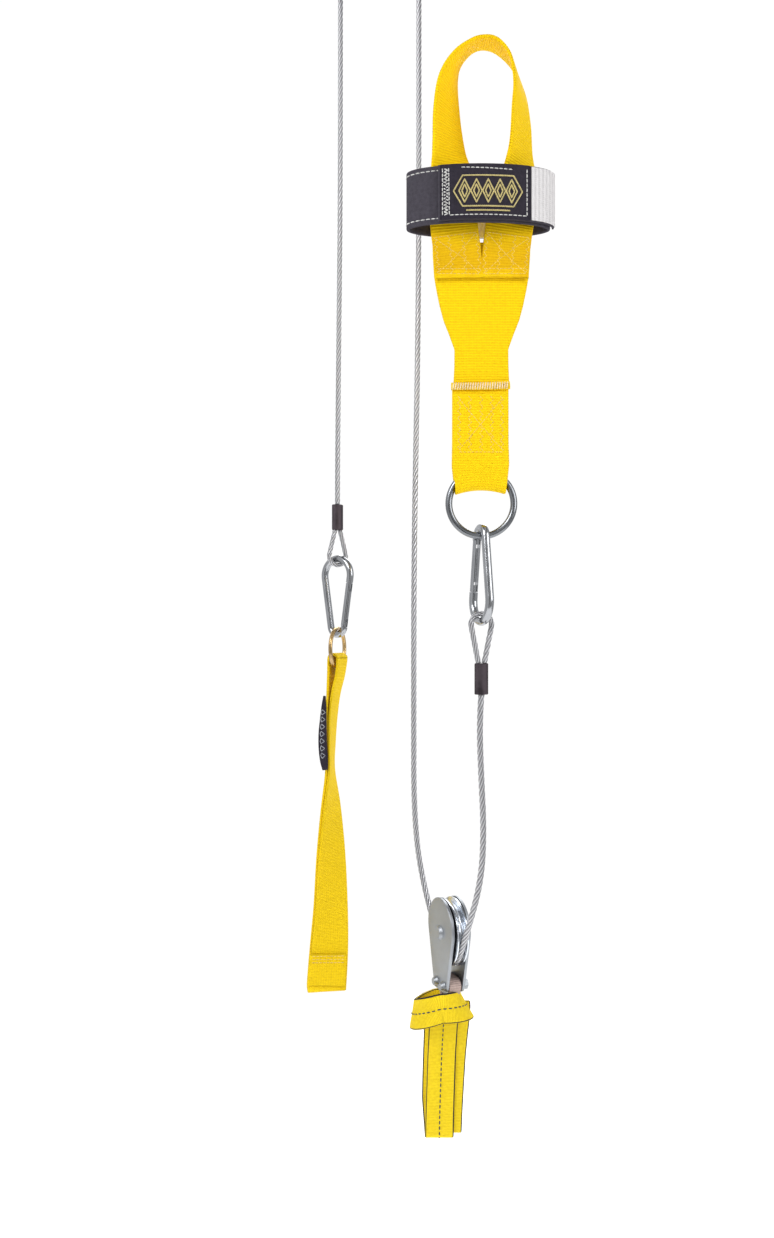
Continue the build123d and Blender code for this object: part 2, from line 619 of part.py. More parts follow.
OUT = 90.0
shell("cuff_band", -CUFF_WALL, CUFF_WALL, CUFF_H, -OUT, OUT, -OUT, OUT)
shell("cuff_hook_patch", 0.0, 0.8, CUFF_H - 8, -24, 26, -OUT, 0)
FLAP_GROW, FLAP_T = 1.2, 1.8
shell("cuff_flap", FLAP_GROW, FLAP_T, CUFF_H - 2, -32.5, OUT, -OUT, 0)
shell("cuff_label", FLAP_GROW + FLAP_T, 0.9, CUFF_H - 3, -30.5, 38, -OUT, 0)
shell("cuff_loop_strip", FLAP_GROW + FLAP_T, 0.9, CUFF_H - 4, 39.5, OUT, -OUT, -2.0)
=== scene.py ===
import bpy
import json
import math
import numpy as np
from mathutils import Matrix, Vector


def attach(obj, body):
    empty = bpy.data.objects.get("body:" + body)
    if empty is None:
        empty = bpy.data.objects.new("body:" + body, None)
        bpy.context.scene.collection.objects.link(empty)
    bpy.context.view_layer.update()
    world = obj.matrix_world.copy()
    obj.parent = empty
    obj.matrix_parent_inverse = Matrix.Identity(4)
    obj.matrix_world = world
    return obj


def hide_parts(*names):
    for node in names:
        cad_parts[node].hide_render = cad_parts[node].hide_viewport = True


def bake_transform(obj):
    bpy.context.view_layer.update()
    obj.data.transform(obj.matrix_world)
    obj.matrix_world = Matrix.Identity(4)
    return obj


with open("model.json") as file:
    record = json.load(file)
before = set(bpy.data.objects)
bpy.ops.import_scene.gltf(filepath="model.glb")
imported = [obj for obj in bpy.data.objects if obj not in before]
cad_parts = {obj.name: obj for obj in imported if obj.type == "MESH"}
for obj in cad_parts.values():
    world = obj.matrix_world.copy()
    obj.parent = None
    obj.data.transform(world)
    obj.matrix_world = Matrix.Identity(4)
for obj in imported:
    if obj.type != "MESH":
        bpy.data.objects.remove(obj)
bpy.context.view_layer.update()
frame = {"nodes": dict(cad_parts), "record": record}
MM = 0.001

# ---- places shared with the CAD model, in millimetres ---------------------------------------
ROPE_R = 2.4
WEB = 2.4
UPPER = np.array((0.0, 0.0, -160.0))
UPPER_YAW, UPPER_PITCH_R = -33.3, 45.5
LOW = np.array((61.0, -112.0, -1086.0))
LOW_YAW, LOW_PITCH_R, LOW_SPREAD = -69.0, 25.5, 32.0
LOAD_X, LOAD_Y = -41.0, 25.0
HANDLE_X, HANDLE_Y = 83.5, -165.0
LOAD_FERRULE_TOP, HANDLE_FERRULE_BOTTOM, FERRULE_L = -704.0, -881.0, 25.0
EYE_R, LOAD_EYE_REACH, HANDLE_EYE_REACH = 8.7, 26.0, 31.0
LOAD_EYE_YAW, HANDLE_EYE_YAW = 22.0, 15.0
CUFF_X, CUFF_A, CUFF_B, CUFF_Z = 81.0, 57.5, 17.0, -487.0
UP = np.array((0.0, 0.0, 1.0))


def heading(yaw):
    return np.array((math.cos(math.radians(yaw)), math.sin(math.radians(yaw)), 0.0))


def unit(v):
    v = np.asarray(v, float)
    return v / np.linalg.norm(v)


def camera():
    view = bpy.data.cameras.new("camera")
    view.sensor_fit = "HORIZONTAL"
    view.sensor_width = 36.0
    view.lens = 46.5
    view.shift_y = 0.0233
    view.clip_end = 50
    eye = bpy.data.objects.new("camera", view)
    eye.location = (0.008, -0.965, -0.835)
    eye.rotation_euler = (math.pi / 2, 0, 0)
    bpy.context.scene.collection.objects.link(eye)
    bpy.context.scene.camera = eye


camera()


# ---- mesh helpers ---------------------------------------------------------------------------
def mesh_piece(name, verts, faces, material, body, uvs=None, smooth=True):
    """A mesh from millimetre points, riding on a body; uvs is one pair per vertex."""
    mesh = bpy.data.meshes.new(name)
    mesh.from_pydata([tuple(v) for v in np.asarray(verts, float) * MM], [], [tuple(f) for f in faces])
    mesh.validate()
    if uvs is not None:
        layer = mesh.uv_layers.new(name="UVMap")
        flat = np.array([uvs[loop.vertex_index] for loop in mesh.loops], np.float32)
        layer.data.foreach_set("uv", flat.ravel())
    mesh.polygons.foreach_set("use_smooth", [smooth] * len(mesh.polygons))
    mesh.update()
    piece = bpy.data.objects.new(name, mesh)
    bpy.context.scene.collection.objects.link(piece)
    if material:
        mesh.materials.append(material)
    if body:
        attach(piece, body)
    return piece


def rings_to_faces(rings, around, closed=False):
    """Quads between rings of `around` vertices, with end caps where the row is open."""
    faces = []
    for i in range(rings if closed else rings - 1):
        a, b = i * around, (i + 1) % rings * around
        for j in range(around):
            k = (j + 1) % around
            faces.append((a + j, a + k, b + k, b + j))
    if not closed:
        faces.append(tuple(range(around - 1, -1, -1)))
        faces.append(tuple((rings - 1) * around + j for j in range(around)))
    return faces


def interpolate(rows, step, closed=False):
    """Rows of values whose first three are a point, eased through by Catmull-Rom and evened out."""
    rows = np.asarray(rows, float)
    count = len(rows)
    dense = []
    spans = count if closed else count - 1
    for i in range(spans):
        if closed:
            a, b, c, d = (rows[(i + k) % count] for k in (-1, 0, 1, 2))
        else:
            b, c = rows[i], rows[i + 1]
            a = rows[i - 1] if i else 2 * b - c
            d = rows[i + 2] if i + 2 < count else 2 * c - b
        for t in np.linspace(0, 1, 16, endpoint=False):
            dense.append(0.5 * (2 * b + (c - a) * t + (2 * a - 5 * b + 4 * c - d) * t**2
                                + (3 * b - a - 3 * c + d) * t**3))
    dense.append(rows[0] if closed else rows[-1])
    dense = np.array(dense)
    along = np.concatenate([[0], np.cumsum(np.linalg.norm(np.diff(dense[:, :3], axis=0), axis=1))])
    steps = max(4, int(round(along[-1] / step)))
    places = np.linspace(0, along[-1], steps + 1)
    out = np.stack([np.interp(places, along, dense[:, k]) for k in range(dense.shape[1])], axis=1)
    return (out[:-1], places[:-1]) if closed else (out, places)


class Webbing:
    """A strap that follows stations of (x, y, z, across x, across y, across z, width)."""

    def __init__(self, stations, closed=False, step=1.5, thick=WEB):
        rows, self.along = interpolate(stations, step, closed)
        self.point, self.width, self.closed, self.thick = rows[:, :3], rows[:, 6], closed, thick
        if closed:
            tangent = np.roll(self.point, -1, axis=0) - np.roll(self.point, 1, axis=0)
        else:
            tangent = np.gradient(self.point, axis=0)
        tangent /= np.linalg.norm(tangent, axis=1)[:, None]
        across = rows[:, 3:6] - tangent * (rows[:, 3:6] * tangent).sum(1)[:, None]
        self.across = across / np.linalg.norm(across, axis=1)[:, None]
        self.normal = np.cross(tangent, self.across)
        self.length = self.along[-1]

    def at(self, s, u, lift=0.0, side=1):
        """The point s along and u across, lift above the strap's face on that side."""
        i = int(np.clip(np.searchsorted(self.along, s), 1, len(self.along) - 1))
        t = (s - self.along[i - 1]) / (self.along[i] - self.along[i - 1])
        mix = lambda rows: rows[i - 1] * (1 - t) + rows[i] * t
        return mix(self.point) + mix(self.across) * u + mix(self.normal) * side * (self.thick / 2 + lift)

    def build(self, name, material, body, bend=None):
        """The strap's mesh: a rounded flat section, its UVs in millimetres across and along."""
        flat = 14
        edge = [math.pi * k / 4 for k in range(1, 4)]
        half_t = self.thick / 2
        section = [(-1 + 2 * k / flat, 0, 1) for k in range(flat + 1)]
        section += [(1, half_t * math.sin(a), math.cos(a)) for a in edge]
        section += [(1 - 2 * k / flat, 0, -1) for k in range(flat + 1)]
        section += [(-1, -half_t * math.sin(a), -math.cos(a)) for a in edge]
        verts, uvs = [], []
        for i in range(len(self.point)):
            half_w = self.width[i] / 2 - half_t
            for across, out, up in section:
                u = across * half_w + out
                verts.append(self.point[i] + self.across[i] * u + self.normal[i] * up * half_t)
                uvs.append((u + 50 * (up < 0), self.along[i]))
        if bend is not None:
            verts = [bend(v, uv) for v, uv in zip(verts, uvs)]
        faces = rings_to_faces(len(self.point), len(section), self.closed)
        piece = mesh_piece(name, verts, faces, material, body, uvs)
        return piece


def thread_run(points, radius, around=5):
    """One stitch: a short thread through the points, as vertices and faces."""
    points = np.asarray(points, float)
    tangent = np.gradient(points, axis=0)
    verts = []
    for p, t in zip(points, tangent):
        t = unit(t)
        a = unit(np.cross(t, (0.31, 0.47, 0.83)))
        b = np.cross(t, a)
        for k in range(around):
            w = 2 * math.pi * k / around
            verts.append(p + (a * math.cos(w) + b * math.sin(w)) * radius)
    return verts, rings_to_faces(len(points), around)


def stitches(name, strap_point, runs, material, body, pitch=3.0, radius=0.32, cover=0.74, bend=None):
    """Lock stitches along runs of (s, u) points; strap_point(s, u, lift) gives the surface."""
    verts, faces = [], []
    for run in runs:
        run = np.asarray(run, float)
        along = np.concatenate([[0], np.cumsum(np.linalg.norm(np.diff(run, axis=0), axis=1))])
        count = max(1, int(along[-1] / pitch))
        for k in range(count):
            ends = np.linspace(k + (1 - cover) / 2, k + (1 + cover) / 2, 5) / count * along[-1]
            points = []
            for n, place in enumerate(ends):
                s, u = np.interp(place, along, run[:, 0]), np.interp(place, along, run[:, 1])
                lift = (-0.8, 0.35, 0.6, 0.35, -0.8)[n] * radius
                point = strap_point(s, u, lift)
                points.append(bend(point) if bend else point)
            more, quads = thread_run(points, radius)
            faces += [tuple(f + len(verts) for f in quad) for quad in quads]
            verts += more
    return mesh_piece(name, verts, faces, material, body)


# ---- materials ------------------------------------------------------------------------------
def shader(name, color, rough=0.5, metal=0.0, coat=0.0, sheen=0.0, specular=0.5):
    """A Principled material and its nodes, ready for more detail."""
    material = bpy.data.materials.new(name)
    material.use_nodes = True
    nodes, links = material.node_tree.nodes, material.node_tree.links
    base = nodes["Principled BSDF"]
    base.inputs["Base Color"].default_value = (*color, 1)
    base.inputs["Roughness"].default_value = rough
    base.inputs["Metallic"].default_value = metal
    base.inputs["Coat Weight"].default_value = coat
    base.inputs["Sheen Weight"].default_value = sheen
    base.inputs["Specular IOR Level"].default_value = specular
    return material, nodes, links, base


def node(nodes, kind, **values):
    made = nodes.new(kind)
    for key, value in values.items():
        if key in made.inputs:
            made.inputs[key].default_value = value
        else:
            setattr(made, key, value)
    return made


def ramp(nodes, links, source, stops):
    """A colour ramp fed by a socket; stops are (place, colour)."""
    made = nodes.new("ShaderNodeValToRGB")
    elements = made.color_ramp.elements
    while len(elements) < len(stops):
        elements.new(0.5)
    for element, (place, color) in zip(elements, stops):
        element.position = place
        element.color = (*color, 1)
    links.new(source, made.inputs["Fac"])
    return made.outputs["Color"]


def maths(nodes, links, operation, a, b=None):
    made = nodes.new("ShaderNodeMath")
    made.operation = operation
    for socket, value in zip(made.inputs, (a, b)):
        if value is None:
            continue
        if isinstance(value, (int, float)):
            socket.default_value = value
        else:
            links.new(value, socket)
    return made.outputs["Value"]


def webbing_material(name, light, dark, rib=1.7, tracers=(), tracer_color=(0.03, 0.03, 0.03), fine=0.9,
                     overlap_shade=None):
    """Ribbed woven polyester: cross ribs, a fine warp, colour drift and optional tracer lines."""
    material, nodes, links, base = shader(name, light, rough=0.72, sheen=0.0, specular=0.12)
    uv = nodes.new("ShaderNodeUVMap")
    split = nodes.new("ShaderNodeSeparateXYZ")
    links.new(uv.outputs["UV"], split.inputs["Vector"])
    across, along = split.outputs["X"], split.outputs["Y"]
    warp = maths(nodes, links, "SINE", maths(nodes, links, "MULTIPLY", across, 2 * math.pi / fine))
    shift = maths(nodes, links, "MULTIPLY", warp, 0.55)
    ribs = maths(nodes, links, "SINE", maths(nodes, links, "ADD", maths(
        nodes, links, "MULTIPLY", along, 2 * math.pi / rib), shift))
    noise = node(nodes, "ShaderNodeTexNoise", Scale=0.35, Detail=6.0, Roughness=0.65)
    links.new(uv.outputs["UV"], noise.inputs["Vector"])
    fibre = node(nodes, "ShaderNodeTexNoise", Scale=2.6, Detail=3.0, Roughness=0.7)
    links.new(uv.outputs["UV"], fibre.inputs["Vector"])
    rise = maths(nodes, links, "ADD", maths(nodes, links, "MULTIPLY", ribs, 0.5), maths(
        nodes, links, "MULTIPLY", warp, 0.18))
    rise = maths(nodes, links, "ADD", rise, maths(nodes, links, "MULTIPLY", fibre.outputs["Fac"], 0.5))
    tone = maths(nodes, links, "ADD", maths(nodes, links, "MULTIPLY", rise, 0.32), maths(
        nodes, links, "MULTIPLY", noise.outputs["Fac"], 0.75))
    color = ramp(nodes, links, tone, ((0.12, dark), (0.62, light)))
    for centre, half in tracers:
        near = maths(nodes, links, "ABSOLUTE", maths(nodes, links, "SUBTRACT", maths(
            nodes, links, "MODULO", maths(nodes, links, "ADD", across, 25.0), 50.0), 25.0 + centre))
        inside = maths(nodes, links, "LESS_THAN", near, half)
        mix = nodes.new("ShaderNodeMix")
        mix.data_type = "RGBA"
        links.new(inside, mix.inputs["Factor"])
        links.new(color, mix.inputs["A"])
        mix.inputs["B"].default_value = (*tracer_color, 1)
        color = mix.outputs["Result"]
    # Optional painted shade: a darker band between two heights, for the shaded sewn overlap.
    if overlap_shade:
        color = paint_overlap_shade(nodes, links, color, *overlap_shade)
    links.new(color, base.inputs["Base Color"])
    bump = node(nodes, "ShaderNodeBump", Strength=0.85, Distance=0.0004)
    links.new(rise, bump.inputs["Height"])
    links.new(bump.outputs["Normal"], base.inputs["Normal"])
    return material


def paint_overlap_shade(nodes, links, color, low, high):
    """Painted shade: darkens a colour between two heights in metres, in soft uneven patches, where the cuff and the
    doubled layers shade the sewn overlap.
    """
    coords = nodes.new("ShaderNodeTexCoord")
    split = nodes.new("ShaderNodeSeparateXYZ")
    links.new(coords.outputs["Object"], split.inputs["Vector"])
    patches = node(nodes, "ShaderNodeTexNoise", Scale=45.0, Detail=3.0, Roughness=0.55)
    links.new(coords.outputs["Object"], patches.inputs["Vector"])
    wander = maths(nodes, links, "MULTIPLY", maths(nodes, links, "SUBTRACT", patches.outputs["Fac"], 0.5), 0.03)
    height = maths(nodes, links, "ADD", split.outputs["Z"], wander)
    span = high - low
    place = maths(nodes, links, "DIVIDE", maths(nodes, links, "SUBTRACT", height, low), span)
    amount = ramp(nodes, links, place, ((0.0, (0.1, 0.1, 0.1)), (0.22, (0.85, 0.85, 0.85)),
                                        (0.5, (0.75, 0.75, 0.75)), (1.0, (0.1, 0.1, 0.1))))
    mix = nodes.new("ShaderNodeMix")
    mix.data_type = "RGBA"
    mix.blend_type = "MULTIPLY"
    links.new(amount, mix.inputs["Factor"])
    links.new(color, mix.inputs["A"])
    mix.inputs["B"].default_value = (0.72, 0.60, 0.9, 1)
    return mix.outputs["Result"]


def thread_material(name, color):
    material, nodes, links, base = shader(name, color, rough=0.6, sheen=0.2, specular=0.3)
    noise = node(nodes, "ShaderNodeTexNoise", Scale=900.0, Detail=2.0)
    coords = nodes.new("ShaderNodeTexCoord")
    links.new(coords.outputs["Object"], noise.inputs["Vector"])
    dim = tuple(c * 0.6 for c in color)
    links.new(ramp(nodes, links, noise.outputs["Fac"], ((0.3, dim), (0.6, color))), base.inputs["Base Color"])
    return material


def metal_material(name, color, rough, scale=60.0, spread=0.12, bump_depth=0.00002, dark=0.7, coat=0.0):
    """Plated metal with drifting roughness, a faint mottle and light pitting."""
    material, nodes, links, base = shader(name, color, rough=rough, metal=1.0, coat=coat)
    coords = nodes.new("ShaderNodeTexCoord")
    broad = node(nodes, "ShaderNodeTexNoise", Scale=scale, Detail=5.0, Roughness=0.6)
    fine = node(nodes, "ShaderNodeTexNoise", Scale=scale * 14, Detail=3.0, Roughness=0.6)
    for made in (broad, fine):
        links.new(coords.outputs["Object"], made.inputs["Vector"])
    shade = tuple(c * dark for c in color)
    links.new(ramp(nodes, links, broad.outputs["Fac"], ((0.35, shade), (0.62, color))), base.inputs["Base Color"])
    wear = nodes.new("ShaderNodeMapRange")
    links.new(broad.outputs["Fac"], wear.inputs["Value"])
    wear.inputs["From Min"].default_value, wear.inputs["From Max"].default_value = 0.3, 0.7
    wear.inputs["To Min"].default_value, wear.inputs["To Max"].default_value = rough - spread / 2, rough + spread
    links.new(wear.outputs["Result"], base.inputs["Roughness"])
    bump = node(nodes, "ShaderNodeBump", Strength=0.5, Distance=bump_depth)
    links.new(fine.outputs["Fac"], bump.inputs["Height"])
    links.new(bump.outputs["Normal"], base.inputs["Normal"])
    return material


def strand_material():
    """Drawn steel wires: painted light on the strand crowns fading to painted shade in the valleys between the strands,
    and a fine wire grain.
    """
    material, nodes, links, base = shader("rope_steel", (0.6, 0.6, 0.62), rough=0.38, metal=0.85)
    uv = nodes.new("ShaderNodeUVMap")
    split = nodes.new("ShaderNodeSeparateXYZ")
    links.new(uv.outputs["UV"], split.inputs["Vector"])
    valley = maths(nodes, links, "ABSOLUTE", split.outputs["X"])
    links.new(ramp(nodes, links, valley, ((0.08, (0.66, 0.66, 0.68)), (0.3, (0.34, 0.34, 0.36)),
                                          (0.46, (0.035, 0.035, 0.04)))), base.inputs["Base Color"])
    wires = maths(nodes, links, "SINE", maths(nodes, links, "ADD", maths(
        nodes, links, "MULTIPLY", split.outputs["X"], 26.0), maths(
            nodes, links, "MULTIPLY", split.outputs["Y"], 2.2)))
    bump = node(nodes, "ShaderNodeBump", Strength=0.6, Distance=0.0002)
    links.new(wires, bump.inputs["Height"])
    links.new(bump.outputs["Normal"], base.inputs["Normal"])
    return material


YELLOW, GOLD = (0.95, 0.66, 0.002), (0.78, 0.46, 0.001)
yellow = webbing_material("yellow_webbing", YELLOW, GOLD, rib=2.1, fine=1.3)
# Painted light: the hand loop's webbing is a lighter copy of the yellow, standing in for light that passes through the
# loop; it also carries the painted shade band over the sewn overlap.
loop_yellow_painted_light = webbing_material("loop_webbing", tuple(1.05 * c for c in YELLOW), tuple(1.08 * c for c in GOLD),
                               rib=2.1, fine=1.3, overlap_shade=(-0.553, -0.500))
eye_pale = webbing_material("eye_webbing", (0.52, 0.40, 0.36), (0.30, 0.22, 0.20), rib=1.5, fine=1.0)
load_yellow = webbing_material("load_webbing", (0.93, 0.66, 0.008), (0.70, 0.44, 0.004), rib=1.5, fine=2.4)
traced = webbing_material("traced_webbing", (0.92, 0.70, 0.02), (0.70, 0.46, 0.008), rib=1.3, fine=1.0,
                          tracers=((-12.2, 0.8), (12.2, 0.8)))
black = webbing_material("black_tape", (0.085, 0.078, 0.098), (0.035, 0.032, 0.042), rib=0.9, fine=0.7)
label_black = webbing_material("label_weave", (0.045, 0.038, 0.055), (0.018, 0.016, 0.024), rib=0.5, fine=0.5)
loop_grey = webbing_material("loop_nap", (0.68, 0.665, 0.67), (0.52, 0.505, 0.51), rib=3.4, fine=1.6)
hook_black = webbing_material("hook_tape", (0.04, 0.04, 0.045), (0.01, 0.01, 0.012), rib=1.2, fine=1.2)
lining_pale = webbing_material("lining_nap", (0.93, 0.93, 0.92), (0.86, 0.86, 0.85), rib=3.4, fine=1.6)
pale_thread = thread_material("pale_thread", (0.90, 0.66, 0.14))
seam_thread = thread_material("seam_thread", (0.88, 0.70, 0.42))
white_thread = thread_material("white_thread", (0.72, 0.72, 0.70))
black_thread = thread_material("black_thread", (0.02, 0.03, 0.05))
gold_thread = thread_material("gold_thread", (0.60, 0.50, 0.21))
silver_thread = thread_material("silver_thread", (0.45, 0.47, 0.52))
plate_zinc = metal_material("zinc_plate", (0.345, 0.365, 0.39), 0.42, scale=45, spread=0.10, dark=0.82)
sheave_zinc = metal_material("sheave_zinc", (0.70, 0.74, 0.80), 0.20, scale=70, spread=0.08, dark=0.75)
bright_zinc = metal_material("bright_zinc", (0.37, 0.38, 0.40), 0.15, scale=55, spread=0.10, dark=0.86)
ring_steel = metal_material("plated_steel", (0.21, 0.22, 0.235), 0.2, scale=50, spread=0.10, dark=0.80)
yellow_zinc = metal_material("yellow_zinc", (0.55, 0.38, 0.18), 0.22, scale=80, spread=0.10, dark=0.6)
bronze = metal_material("bronze", (0.55, 0.36, 0.16), 0.35)
ferrule_dark = metal_material("dark_ferrule", (0.085, 0.07, 0.08), 0.48, scale=120, spread=0.2, dark=0.6)
rope_steel = strand_material()


# ---- wire rope ------------------------------------------------------------------------------
def spline_points(route):
    """Points of the smooth line through a route, read from a NURBS curve with no bevel."""
    curve = bpy.data.curves.new("route", "CURVE")
    curve.dimensions = "3D"
    curve.resolution_u = 48
    spline = curve.splines.new("NURBS")
    spline.points.add(len(route) - 1)
    for control, place in zip(spline.points, route):
        control.co = (*(np.asarray(place, float) * MM), 1)
    spline.order_u = 3
    spline.use_endpoint_u = True
    holder = bpy.data.objects.new("route", curve)
    mesh = bpy.data.meshes.new_from_object(holder)
    points = np.array([v.co for v in mesh.vertices]) / MM
    bpy.data.objects.remove(holder)
    bpy.data.meshes.remove(mesh)
    return points


def arc_points(centre, x_dir, y_dir, radius, start, stop, count=40):
    """Points round a sheave or an eye, between two angles in degrees."""
    angles = np.radians(np.linspace(start, stop, count))
    return [centre + x_dir * radius * math.cos(a) + y_dir * radius * math.sin(a) for a in angles]


def even(points, step):
    points = np.asarray(points, float)
    along = np.concatenate([[0], np.cumsum(np.linalg.norm(np.diff(points, axis=0), axis=1))])
    keep = np.concatenate([[True], np.diff(along) > 1e-6])
    points, along = points[keep], along[keep]
    places = np.linspace(0, along[-1], max(8, int(along[-1] / step)))
    return np.stack([np.interp(places, along, points[:, k]) for k in range(3)], axis=1), places


def rope(name, points, body, lay_length=34.0, step=1.5, strands=6, samples=6, fullness=1.07):
    """Stranded wire rope along the points: a fluted section that turns once every lay."""
    line, along = even(points, step)
    tangent = np.gradient(line, axis=0)
    tangent /= np.linalg.norm(tangent, axis=1)[:, None]
    side = unit(np.cross(tangent[0], (0.2, 0.9, 0.37)))
    around = strands * samples
    verts, uvs = [], []
    for i, (p, t) in enumerate(zip(line, tangent)):
        side = unit(side - t * side.dot(t))
        other = np.cross(t, side)
        twist = 2 * math.pi * along[i] / lay_length
        for k in range(around):
            off = (k % samples + 0.5) / samples - 0.5
            delta = off * 2 * math.pi / strands
            reach = ROPE_R / 3
            r = 2 * reach * math.cos(delta) + math.sqrt(max(0, reach**2 - (2 * reach * math.sin(delta)) ** 2))
            r *= fullness
            a = 2 * math.pi * (k + 0.5) / around + twist
            verts.append(p + (side * math.cos(a) + other * math.sin(a)) * r)
            uvs.append((off, along[i]))
    piece = mesh_piece(name, verts, rings_to_faces(len(line), around), rope_steel, body, uvs)
    return piece, line


SPREAD = math.radians(LOW_SPREAD)


def spread_point(sign, rise):
    """A point on the straight rope that leaves the low sheave, rise above its tangent point."""
    u = sign * (LOW_PITCH_R * math.cos(SPREAD) + rise * math.tan(SPREAD))
    return LOW + heading(LOW_YAW) * u + UP * (rise - LOW_PITCH_R * math.sin(SPREAD))


def rope_run():
    upper_left = UPPER - heading(UPPER_YAW) * UPPER_PITCH_R
    upper_right = UPPER + heading(UPPER_YAW) * UPPER_PITCH_R
    middle = spline_points([
        upper_right, upper_right - UP * 200, (37.0, -43.0, -545.0), (32.5, -60.0, -745.0),
        (32.0, -66.0, -900.0), (32.2, -68.0, -1005.0), spread_point(-1, 35) - (3.5, 0, 0), spread_point(-1, 0),
    ])
    over = arc_points(UPPER, heading(UPPER_YAW), UP, UPPER_PITCH_R, 180, 0)
    under = arc_points(LOW, heading(LOW_YAW), UP, LOW_PITCH_R, 180 + LOW_SPREAD, 360 - LOW_SPREAD)
    run, line = rope("rope_run", [*over, *middle, *under], "rigging")
    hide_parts("rope_upper_bend", "rope_middle_fall", "rope_low_bend")

    load = spline_points([
        upper_left, upper_left - UP * 230, (-39.5, 25.4, -520.0),
        (LOAD_X, LOAD_Y, LOAD_FERRULE_TOP + 40), (LOAD_X, LOAD_Y, LOAD_FERRULE_TOP),
    ])
    fall, line = rope("load_fall", load, None)
    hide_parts("load_rope_fall")
    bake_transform(fall)

    handle = spline_points([
        spread_point(1, 0), spread_point(1, 30), (84.5, -153.0, -1032.0), (86.2, -158.0, -992.0),
        (83.6, -162.0, -945.0), (HANDLE_X - 1.6, HANDLE_Y, -905.0), (HANDLE_X, HANDLE_Y, HANDLE_FERRULE_BOTTOM),
    ])
    fall, line = rope("handle_fall", handle, None)
    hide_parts("handle_rope_fall")
    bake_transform(fall)


def rope_eye(name, x, y, face_z, sign, reach, yaw):
    """The soft eye beyond a ferrule: two legs that leave side by side and a round end."""
    leg = ROPE_R + 0.1
    far = math.hypot(leg, reach)
    run = math.sqrt(far**2 - EYE_R**2)
    a = math.atan2(reach, leg) + math.asin(EYE_R / far)
    touch = (-leg + run * math.cos(a), run * math.sin(a))
    centre = np.array((x, y, face_z)) + UP * sign * reach
    across = heading(yaw)
    start = math.degrees(math.atan2(touch[1] - reach, touch[0]))
    if start < 0:
        start += 360
    place = lambda u, v: np.array((x, y, face_z)) + across * u + UP * sign * v
    round_end = arc_points(centre, across, UP * sign, EYE_R, start, 180 - start)
    legs = [place(-leg, 0), *round_end, place(leg, 0)]
    eye, line = rope(name, legs, f"{name.rsplit('_', 1)[0]}", step=1.2, fullness=0.96)
    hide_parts(name)


rope_run()
rope_eye("load_rope_eye", LOAD_X, LOAD_Y, LOAD_FERRULE_TOP - FERRULE_L, -1, LOAD_EYE_REACH, LOAD_EYE_YAW)
rope_eye("handle_rope_eye", HANDLE_X, HANDLE_Y, HANDLE_FERRULE_BOTTOM + FERRULE_L, 1, HANDLE_EYE_REACH,
         HANDLE_EYE_YAW)


# ---- load strap -----------------------------------------------------------------------------
def load_strap():
    levels = (
        (-856.5, -41.0, 25.0, 70, 26, 4.7), (-872, -42.3, 25.0, 72, 25, 4.2), (-892, -45.0, 25.0, 77, 30, 2.2),
        (-915, -47.0, 25.3, 81, 36, 1.5), (-940, -48.0, 25.5, 84, 38, 1.4), (-968, -48.4, 25.5, 85, 38, 1.4),
        (-1004, -47.7, 25.5, 68, 38, 1.4), (-1052, -47.5, 25.0, 50, 38, 1.5), (-1100, -47.7, 24.5, 37, 38, 1.8),
        (-1140, -49.3, 24.0, 22, 38, 3.2), (-1178.0, -51.8, 24.0, 9, 38, 6.2),
    )
    rows = []
    for sign in (-1, 1):
        side = [(np.array((x, y, z)) + heading(yaw + 90) * sign * half, heading(yaw), width)
                for z, x, y, yaw, width, half in levels]
        rows += side if sign < 0 else side[::-1]
        z, x, y, yaw, width, half = levels[-1 if sign < 0 else 0]
        turn = -1 if sign < 0 else 1
        for angle in (45, 90, 135):
            c, s = math.cos(math.radians(angle)), math.sin(math.radians(angle))
            out = heading(yaw + 90) * sign * half * c + UP * turn * half * s
            rows.append((np.array((x, y, z)) + out, heading(yaw), width))
    strap = Webbing([(*p, *a, w) for p, a, w in rows], closed=True)
    piece = strap.build("load_strap", load_yellow, "load_strap")
    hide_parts("load_strap")
    front = Webbing([(x, y - half - WEB, z, *heading(yaw), width - 0.4)
                     for z, x, y, yaw, width, half in ((-1147, -49.8, 24.0, 19.5, 38, 3.6),
                                                       (-1160, -50.6, 24.0, 15, 38, 4.8),
                                                       (-1177, -51.8, 24.0, 9, 38, 6.0))], thick=2.0)
    front.build("load_strap_overlap", load_yellow, "load_strap")
    out = 1 if front.normal[2][1] < 0 else -1
    runs = [[(1.5 + 3.1 * k, -16.5), (1.5 + 3.1 * k, 16.5)] for k in range(3)]
    stitches("load_strap_stitches", lambda s, u, lift: front.at(s, u, lift, out), runs, pale_thread, "load_strap",
             pitch=3.4, radius=0.4)
    return strap


def load_label():
    rows = ((-892, -52.6, 2.6), (-902, -53.2, 5.0), (-915, -53.8, 7.0), (-929, -54.4, 8.6), (-943, -54.2, 8.8),
            (-955, -53.2, 8.0), (-964, -52.0, 5.6))
    tab = Webbing([(x, 4.6, z, 1, -0.25, 0, width) for z, x, width in rows], thick=1.0, step=1.0)
    piece = tab.build("load_strap_label", label_black, "load_strap")
    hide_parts("load_strap_label")
    runs = []
    for k in range(7):
        s = 16 + k * 7.0
        runs.append([(s - 2.6, -1.4), (s, 2.0), (s + 2.6, -1.4), (s, -2.4), (s - 2.6, -1.4)])
    side = 1 if tab.normal[4][1] < 0 else -1
    stitches("load_label_motif", lambda s, u, lift: tab.at(s, u, lift, side), runs, silver_thread,
             "load_strap", pitch=1.6, radius=0.35, cover=0.9)


load_strap()
load_label()


